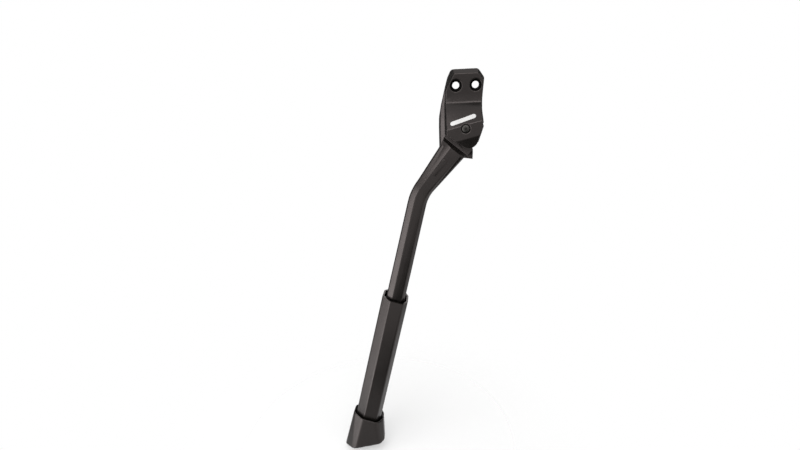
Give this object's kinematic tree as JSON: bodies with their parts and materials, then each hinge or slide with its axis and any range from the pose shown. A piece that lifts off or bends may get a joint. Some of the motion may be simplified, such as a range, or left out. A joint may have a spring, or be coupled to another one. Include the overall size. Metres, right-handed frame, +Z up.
{
  "type": "bicycle kickstand",
  "caption": "Rear-mounted bicycle kickstand: bolted housing, a cranked leg that folds about a pin with a detent, a clamped telescopic sleeve and a flared rubber foot.",
  "frame": {"origin": "middle of the two frame bolt holes, on the mating face", "axes": "+Y goes into the bicycle's frame and -Y away from it, +X to the bicycle's rear, +Z up; seen from outside, the leg leans towards -X, deployed"},
  "size_m": [0.1507, 0.0739, 0.382],
  "materials": {
    "powder_coat": "black satin powder coat on cast or forged aluminium",
    "moulded": "black glass-filled nylon, satin",
    "rubber": "black rubber",
    "steel": "plain turned steel, inside",
    "dark_steel": "steel pin with dark plating",
    "bronze": "sintered bronze",
    "brass": "turned brass",
    "nylon": "natural nylon"
  },
  "bodies": {
    "housing_body": {"housing": "powder_coat", "pivot_pin": "dark_steel", "retaining_ring": "steel", "outer_washer": "steel", "inner_washer": "steel"},
    "leg_body": {"leg": "powder_coat", "outer_bush": "bronze", "inner_bush": "bronze", "bar_shoe": "nylon", "shoe_screw": "steel", "detent_spring": "steel"},
    "plunger_body": {"detent_plunger": "steel"},
    "sleeve_body": {"sleeve": "moulded", "upper_guide": "nylon", "clamp_insert": "brass", "clamp_screw": "steel", "pressure_pad": "brass", "end_plug": "moulded", "foot": "rubber", "foot_screw": "steel"}
  },
  "joints": [
    {"name": "leg_fold", "type": "hinge", "parent": "housing_body", "child": "leg_body", "pos_m": [-0.0006, -0.0145, -0.0382], "axis": [-0.0337, -0.9903, 0.135], "range_deg": [0, 110]},
    {"name": "detent_travel", "type": "slide", "parent": "leg_body", "child": "plunger_body", "axis": [0.0337, 0.9903, -0.135], "range_m": [0, 0.0012], "stiffness_N_per_m": 600, "springref_m": 0.004},
    {"name": "sleeve_slide", "type": "slide", "parent": "leg_body", "child": "sleeve_body", "axis": [0.2508, 0.1224, 0.9603], "range_m": [-0.02, 0.02]}
  ]
}
